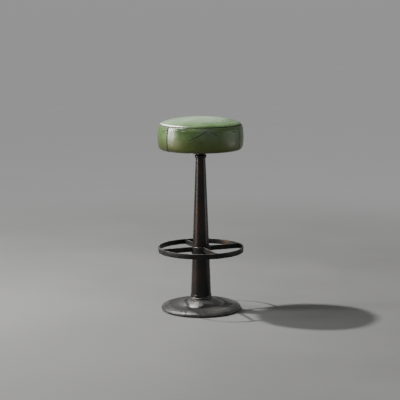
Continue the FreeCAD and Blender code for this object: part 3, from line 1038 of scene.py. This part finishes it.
def gathered(place):
    """Draws the mesh's columns together at the upright seams, for their grooves."""
    gap = upright_seam_gap(place)
    share = abs(gap) / (gather_reach * axis_distance(place))
    fade_length = 10 * MM
    fade = 1.0
    if place.z > top_corner[1]:
        fade = clip((around_seam(place) + fade_length) / fade_length)
    if share >= 1:
        return place
    turn = copysign(share ** gather_power - share, gap) * gather_reach * fade
    return Matrix.Rotation(turn, 3, "Z") @ place


def leather_skin():
    """The outer skin as one sheet, with a square grid in the crown's middle."""
    piece = lathe("leather_skin", skin_section(), skin_steps)
    edit_inner_edges(piece, crown_grid_radius + MM)
    bpy.ops.mesh.fill_grid(span=skin_steps // 4)
    bpy.ops.mesh.select_all(action="DESELECT")
    leave()
    grid_edge = crown_grid_radius - weld_distance
    for vertex in piece.data.vertices:
        vertex.select = axis_distance(vertex.co) < grid_edge and vertex.co.z > top_corner[1]
    edit(piece, None)
    bpy.ops.mesh.vertices_smooth(factor=0.5, repeat=crown_smoothing)
    leave()
    for vertex in piece.data.vertices:
        radius = axis_distance(vertex.co)
        if radius < grid_edge and vertex.co.z > top_corner[1]:
            vertex.co.z = crown_height(radius)
        elif radius > top_corner[0]:
            vertex.co = gathered(vertex.co)
    face_outwards(piece)
    for _ in range(4):
        piece.data.materials.append(finishes["leather"])
    for face in piece.data.polygons:
        face.material_index = panel_of(face.center)
    return piece


# Creases on the side, each with its weight and its places by angle and height
crease_depth = 1.5 * MM
crease_width = 1.0 * MM
crease_reach = 18 * MM
creases = [
    (1.0, (-131, 0.7005), (-124.7, 0.7054), (-114, 0.7216), (-106.2, 0.7350), (-101.4, 0.7386)),
    (0.6, (-101.4, 0.7386), (-95.7, 0.7323), (-90.2, 0.7220), (-84, 0.7120)),
    (0.8, (-140, 0.7400), (-135, 0.7425), (-130, 0.7415)),
    (0.8, (-67, 0.7335), (-61, 0.7345), (-55, 0.7315)),
    (0.6, (20, 0.7410), (25, 0.7290), (27, 0.7140)),
    (0.8, (112, 0.7060), (120, 0.7230), (132, 0.7400)),
    (0.6, (172, 0.7410), (168, 0.7290), (167, 0.7150)),
]


def crease_at(place):
    """A crease's push along the normal at a place, and how much painted shade its fold gets."""
    angle = bearing(place)
    here = Vector((0, place.z))
    width = crease_width
    move, dark = 0.0, 0.0
    for weight, *line in creases:
        best, best_share = 1.0, 0.0
        for number, ((a0, z0), (a1, z1)) in enumerate(zip(line, line[1:])):
            turn = turn_between(angle, a0)
            start = Vector((radians(turn) * seat_radius, z0))
            end = Vector((radians(turn + a1 - a0) * seat_radius, z1))
            along = end - start
            share = clip(-(start - here).dot(along) / along.length_squared)
            gap = here - (start + along * share)
            if gap.length < abs(best):
                best = copysign(gap.length, gap.x * along.y - gap.y * along.x)
                best_share = (number + share) / (len(line) - 1)
        if abs(best) < crease_reach:
            taper = weight * sqrt(max(0.0, sin(pi * best_share)))
            banks = bell(best - width * 4, width * 4) + bell(best + width * 5, width * 4)
            move += crease_depth * taper * (0.25 * banks - bell(best, width))
            dark = max(dark, taper * bell(best, width * 1.6))
    return move, dark


# Seams: the groove, the lip on each side of it and the roll above the top seam
seam_depth, seam_width = 2.8 * MM, 1.7 * MM
lip_height, lip_place, lip_width = 0.35 * MM, 3.8 * MM, 1.9 * MM
roll_height, roll_place, roll_width = 0.5 * MM, 4.6 * MM, 2.4 * MM
# Share of painted shade in an upright seam's groove
upright_dark = 0.75

# Where the top roll gets a painted highlight and where the side's foot gets painted shade, by
# angle
highlight_middle, highlight_reach, highlight_width = -165.0, 34.0, 3.3 * MM
shade_middle, shade_reach, shade_share = -179.0, 30.0, 0.75
shade_top, shade_fade = 60 * MM, 45 * MM


def sew(piece):
    """Sinks the seams, raises their lips, presses the creases in and marks painted shade and a
    painted highlight.
    """
    mesh = piece.data
    marks = ("groove", "roll_highlight", "painted_shade")
    groove, roll_highlight, painted_shade = (mesh.attributes.new(name, "FLOAT", "POINT") for name in marks)
    normals = [vertex.normal.copy() for vertex in mesh.vertices]
    far_off = 1.0
    for vertex, normal in zip(mesh.vertices, normals):
        place = vertex.co
        move, dark, bright = 0.0, 0.0, 0.0
        if axis_distance(place) > top_corner[0]:
            distance = around_seam(place) if place.z > top_corner[1] else far_off
            move += lip_height * bell(distance - lip_place, lip_width)
            move += roll_height * bell(distance + roll_place, roll_width)
            move -= seam_depth * bell(distance, seam_width)
            # Painted shade in the groove of the top seam
            dark = bell(distance, seam_width * 1.5)
            # Painted highlight along the top roll, strongest on the left front
            turn = turn_between(highlight_middle, bearing(place))
            bright = bell(distance + roll_place + MM, highlight_width)
            bright *= bell(turn, highlight_reach) ** 2
            if distance > 0:
                distance = upright_seam_gap(place)
                move += lip_height * bell(abs(distance) - lip_place, lip_width)
                move -= seam_depth * bell(distance, seam_width)
                # Painted shade in the upright seam's groove and in crease folds
                dark = max(dark, upright_dark * bell(distance, seam_width * 1.3))
                if bottom_corner[1] < place.z < top_corner[1] + 20 * MM:
                    crease, fold = crease_at(place)
                    move += crease
                    dark = max(dark, fold)
        vertex.co = place + normal * move
        groove.data[vertex.index].value = dark
        roll_highlight.data[vertex.index].value = bright
        # Painted shade low on the left of the side, fading upwards
        turn = turn_between(shade_middle, bearing(place))
        lower = clip((seat_low + shade_top - place.z) / shade_fade)
        painted_shade.data[vertex.index].value = shade_share * lower * bell(turn, shade_reach)
    mesh.update()


# How the leather settles over its foam
swell, leather_slack = 1.7 * MM, -0.004
held_end, held_fade = 30 * MM, 23 * MM
settle_frames, wave_scale = 20, 40.0


def below_seam(place):
    """Distance down the skin from the top seam, carried on down the side."""
    if place.z > top_corner[1]:
        return around_seam(place)
    return radians(top_seam_angle) * top_corner_radius + top_corner[1] - place.z


def held_by(gap):
    """1 in a seam and its stitches, easing to 0 where the leather is free."""
    share = clip((held_end - abs(gap)) / held_fade)
    return share * share * (3 - 2 * share)


def settle(piece):
    """Lets the foam push the leather out between its seams, with the move capped."""
    mesh = piece.data
    sewn = piece.vertex_groups.new(name="sewn")
    start = [vertex.co.copy() for vertex in mesh.vertices]
    for vertex in mesh.vertices:
        place = vertex.co
        held = 0.0
        if axis_distance(place) > top_corner[0]:
            distance = below_seam(place)
            held = held_by(distance)
            if distance > 0:
                held = max(held, held_by(upright_seam_gap(place)))
        if place.z < seat_low + bottom_corner_radius / 3:
            held = 1.0
        sewn.add([vertex.index], held, "REPLACE")
        uneven = 0.85 + 0.3 * noise.noise(place * wave_scale)
        vertex.co = place - vertex.normal * swell * (1 - held) * uneven
    activate(piece)
    cloth = piece.modifiers.new("Cloth", "CLOTH")
    settings = cloth.settings
    settings.quality = 5
    settings.mass = 0.4
    settings.tension_stiffness = settings.compression_stiffness = 30
    settings.shear_stiffness = 10
    settings.bending_stiffness = 8
    settings.air_damping = 2
    settings.vertex_group_mass = "sewn"
    settings.use_pressure = True
    settings.uniform_pressure_force = 4
    settings.shrink_min = leather_slack
    settings.effector_weights.gravity = 0
    for step in range(1, settle_frames + 1):
        bpy.context.scene.frame_set(step)
    bpy.ops.object.modifier_apply(modifier=cloth.name)
    bpy.context.scene.frame_set(1)
    piece.vertex_groups.clear()
    for vertex, place in zip(mesh.vertices, start):
        push = vertex.co - place
        if push.length > swell:
            vertex.co = place + push * (swell / push.length)
    edit(piece)
    bpy.ops.mesh.vertices_smooth(factor=0.5, repeat=6)
    leave()


def seat_cushion():
    piece = leather_skin()
    settle(piece)
    modify(piece, "SUBSURF", levels=1, render_levels=1)
    sew(piece)
    edit(piece)
    bpy.ops.mesh.separate(type="MATERIAL")
    leave()
    panels = {}
    for panel in list(bpy.context.selected_objects):
        vertices = panel.data.vertices
        middle = sum((vertex.co for vertex in vertices), Vector()) / len(vertices)
        if middle.z > top_corner[1] + 5 * MM:
            panels["leather_top"] = panel
        else:
            number = panel_of(Vector((middle.x, middle.y, side_centre[1])))
            panels[f"leather_side_{number}"] = panel
    for name, panel in panels.items():
        panel.name = name
        modify(panel, "SOLIDIFY", thickness=leather_thickness, offset=-1.0)
        smooth(panel, soft_bend)
        node = name.replace("side", "side_panel").replace("top", "top_panel")
        dress(panel, "seat", "leather", node)


# Stitches
stitch_length = 3.6 * MM
stitch_width = 0.95 * MM
stitch_gap = 5.2 * MM
stitch_sink = 0.1 * MM
stitch_pitch = 5.5 * MM


def one_stitch(name, place, along, out):
    """A short thread with its ends sunk into the leather."""
    bpy.ops.mesh.primitive_uv_sphere_add(segments=8, ring_count=6, radius=0.5)
    piece = new_piece(name)
    side = along.cross(out)
    for vertex in piece.data.vertices:
        x, y, z = vertex.co
        ends = (2 * x) ** 2
        rise = z * stitch_width - ends * stitch_width * 0.25 - stitch_sink
        vertex.co = place + along * x * stitch_length + side * y * stitch_width + out * rise
    return piece


def top_stitches():
    """A row of stitches on the side, just under the top seam."""
    turn = radians(top_seam_angle - degrees(stitch_gap / top_corner_radius))
    radius, height = arc_point(*top_arc, turn)
    out = Vector((cos(turn), 0, sin(turn)))
    piece = one_stitch("top_stitches", Vector((radius, 0, height)), Vector((0, 1, 0)), out)
    repeat_round(piece, round(tau * radius / stitch_pitch))
    smooth(piece, soft_bend)
    dress(piece, "seat", "thread")


def upright_stitches(number, angle):
    """A row of stitches down each side of an upright seam."""
    rows = []
    start_turn = top_seam_angle - degrees(stitch_gap * 2 / top_corner_radius)
    path = outline(
        0,
        (top_arc, start_turn, side_top_angle, 12),
        (side_arc, side_top_angle, side_bottom_angle, 40),
        (bottom_arc, side_bottom_angle, -60, 12),
    )
    travelled, due = 0.0, 0.0
    for (r0, z0), (r1, z1) in zip(path, path[1:]):
        length = hypot(r1 - r0, z1 - z0)
        while due <= travelled + length:
            share = (due - travelled) / length
            radius, height = r0 + (r1 - r0) * share, z0 + (z1 - z0) * share
            along = Vector((r1 - r0, 0, z1 - z0)) / length
            out = Vector((z0 - z1, 0, r1 - r0)) / length
            for side in (-1, 1):
                stitch = one_stitch("stitch", Vector((radius, 0, height)), along, out)
                turn_mesh(stitch, angle + side * degrees(stitch_gap / radius))
                rows.append(stitch)
            due += stitch_pitch
        travelled += length
    bpy.ops.object.select_all(action="DESELECT")
    for stitch in rows:
        stitch.select_set(True)
    piece = bpy.context.view_layer.objects.active = rows[0]
    bpy.ops.object.join()
    piece.name = f"upright_stitches_{number}"
    smooth(piece, soft_bend)
    dress(piece, "seat", "thread")


# Foam, dust cover and staples


def foam_outline(low, high):
    """The foam's outline between two heights, from the top down."""
    section = outline(
        foam_inset,
        (crown_arc, 90, crown_angle, 20),
        (top_arc, crown_angle, side_top_angle, 16),
        (side_arc, side_top_angle, side_bottom_angle, 20),
        (bottom_arc, side_bottom_angle, -90, 12),
    )
    return [place for place in section if low < place[1] < high]


def foam_pieces():
    """A firm core that wraps the board's edge and a softer topper glued over it."""
    split = seat_top - topper_thickness
    glue = 0.2 * MM
    ease = 4 * MM
    outline = foam_outline(split + MM, seat_top)
    edge = outline[-1][0]
    section = outline + [(edge, split + 0.3 * MM), (edge - ease, split + glue), (0, split + glue)]
    topper = lathe("foam_topper_pad", section, steps=96)
    dent(topper, 0.03, 0.6 * MM)
    outline = foam_outline(seat_low, split - MM)
    wall, floor = board_radius + 0.5 * MM, board_high + 2.2 * MM
    foot = outline[-1][1]
    section = [(0, split - glue), (outline[0][0] - ease, split - glue)] + outline
    section += [(wall + 2 * MM, foot), (wall, foot + 2 * MM), (wall, floor), (0, floor)]
    core = lathe("foam_core_pad", section, steps=96)
    for piece, node in ((core, "foam_core"), (topper, "foam_topper")):
        smooth(piece, turned_bend)
        dress(piece, "seat", "foam", node)


def dust_sheet():
    """Black cloth stretched under the board and stapled over the leather's edge."""
    outer = span("dust_cover")[0]
    hole, pull_reach, pull_depth = 4 * MM, 25 * MM, 0.18 * MM
    step_in, step_out = leather_tuck_radius - 7 * MM, leather_tuck_radius - MM
    low, high = seat_low - 0.5 * MM, board_low - 0.5 * MM
    section = line_points((hole, high), (step_in, high), 24)
    section += line_points((step_in, high), (step_out, low), 5)
    section += line_points((step_out, low), (outer, low), 6) + [(outer, low)]
    piece = lathe("dust_sheet", section, steps=288)
    edit_inner_edges(piece, hole + MM)
    bpy.ops.mesh.edge_face_add()
    leave()
    for vertex in piece.data.vertices:
        turn = atan2(vertex.co.y, vertex.co.x)
        pull = clip((axis_distance(vertex.co) - step_in + pull_reach) / pull_reach)
        vertex.co.z += pull_depth * pull * cos(staple_count * turn)
    face_outwards(piece)
    smooth(piece, bar_bend)
    dress(piece, "seat", "dust_cloth", "dust_cover")


def staples():
    """Wire staples round the cloth's edge."""
    wire, length = 0.9 * MM, 10 * MM
    centre = (leather_tuck_radius + 6 * MM, 0, seat_low - 0.75 * MM - wire / 4)
    piece = block("staples", centre, (wire, length, wire / 2))
    modify(piece, "BEVEL", width=wire / 6, segments=2)
    repeat_round(piece, staple_count)
    dress(piece, "seat", "zinc")


# The nodes that keep their own shape, by finish
kept_nodes = {
    "rubber": "floor_pads",
    "steel": "base_bolt base_bolt_washer base_lock_washer column_foot_plug bearing_housing "
    "spindle spindle_washer thrust_race_lower thrust_race_upper thrust_balls",
    "bronze": "upper_bush lower_bush thrust_cage",
    "zinc": "spindle_nut split_pin seat_bolts seat_bolt_washers t_nuts",
    "black_iron": "hub_set_screws seat_plate",
    "plywood": "seat_board",
}


def dress_kept_nodes():
    for slot, names in kept_nodes.items():
        for name in names.split():
            materials = nodes[name].data.materials
            materials.clear()
            materials.append(finishes[slot])


# Studio

backdrop_colour = (0.80, 0.815, 0.80)
backdrop_strength = 0.36
photo_turn = -22.0
aim_height = 0.45


def studio_floor():
    """A pale floor that passes smoothly into the lit backdrop further out."""
    bpy.ops.mesh.primitive_plane_add(size=400)
    floor = bpy.context.object
    floor.name = "studio_floor"
    finish = Finish("pale_floor", Emission_Color=backdrop_colour)
    distance = add_vector_math(finish.tree, "LENGTH", finish.place)
    far = add_range(finish.tree, distance, 0.9, 3.2)
    floor_grey, floor_pale = (0.090, 0.090, 0.0885), (0.102, 0.102, 0.100)
    finish.layer(finish.mottle(floor_grey, floor_pale, 1.5, 0.2)["Colour"])
    finish.layer((0, 0, 0), far)
    finish.smudge(3.0, 0.85, 0.95)
    glow = product(finish.tree, far, backdrop_strength)
    feed(finish.tree, glow, finish.shader.inputs["Emission Strength"])
    floor.data.materials.append(finish.material)


def softbox(name, azimuth, elevation, distance, size, power, colour):
    """An area light at an angle right of the camera's view and up, aimed at the stool."""
    data = bpy.data.lights.new(name, "AREA")
    data.shape = "RECTANGLE"
    data.size, data.size_y = size
    data.energy, data.color = power, colour
    light = bpy.data.objects.new(name, data)
    bpy.context.scene.collection.objects.link(light)
    turn, lift = radians(azimuth - photo_turn), radians(elevation)
    level = cos(lift)
    ray = Vector((sin(turn) * level, cos(turn) * level, sin(lift)))
    light.location = ray * distance + Vector((0, 0, aim_height))
    light.rotation_euler = ray.to_track_quat("Z", "Y").to_euler()
    light.visible_camera = False
    return light


def panel(name, azimuth, distance, width, low, high, power, colour):
    """An upright light between two heights, such as a window, facing the stool's axis."""
    light = softbox(name, azimuth, 0, distance, (width, high - low), power, colour)
    light.location.z = (low + high) / 2


def studio_lights():
    softbox("key", -73, 58, 4.0, (0.16, 0.16), 450, (1.0, 0.99, 0.96))
    softbox("front_fill", 165, 30, 4.0, (3.6, 3.6), 32, (1.0, 1.0, 1.0))
    panel("crown_sheen", -24, 1.3, 1.6, 1.0, 1.65, 3.4, (0.97, 1.0, 0.97))
    panel("window_high", -92, 2.6, 0.55, 1.1, 2.3, 128, (0.98, 1.0, 0.98))
    panel("window_low", -96, 2.6, 0.6, 0.5, 1.1, 31, (1.0, 0.98, 0.94))
    panel("floor_glow", -108, 2.6, 1.3, 0.0, 0.42, 9.0, (1.0, 0.78, 0.60))
    panel("right_side", 96, 2.6, 2.2, 0.28, 1.0, 3.8, (1.0, 0.98, 0.97))
    panel("right_low", 90, 2.6, 1.2, 0.0, 0.22, 2.4, (1.0, 0.96, 0.94))
    world = bpy.data.worlds.new("studio")
    bpy.context.scene.world = world
    world.use_nodes = True
    background = world.node_tree.nodes["Background"].inputs
    feed(world.node_tree, backdrop_colour, background["Color"])
    feed(world.node_tree, backdrop_strength, background["Strength"])


def photo_camera():
    data = bpy.data.cameras.new("photo_camera")
    data.lens, data.sensor_width = 121.16, 36.0
    data.dof.use_dof = False
    camera = bpy.data.objects.new("photo_camera", data)
    bpy.context.scene.collection.objects.link(camera)
    turn, pitch, roll = (radians(angle) for angle in (photo_turn, 90 - 9.141, -0.191))
    place = Matrix.Rotation(turn, 4, "Z") @ Matrix.Translation((-0.00288, -5.3301, 1.3040))
    tilt = Matrix.Rotation(pitch, 4, "X") @ Matrix.Rotation(roll, 4, "Z")
    camera.matrix_world = place @ tilt
    bpy.context.scene.camera = camera


base_casting()
column_tube()
foot_ferrule()
bead_collar()
foot_ring()
foot_spokes()
foot_hub()
weld_beads()
seat_cushion()
top_stitches()
for number, angle in enumerate(side_seam_angles, 1):
    upright_stitches(number, angle)
foam_pieces()
dust_sheet()
staples()
dress_kept_nodes()
studio_floor()
studio_lights()
photo_camera()

bpy.ops.object.select_all(action="DESELECT")
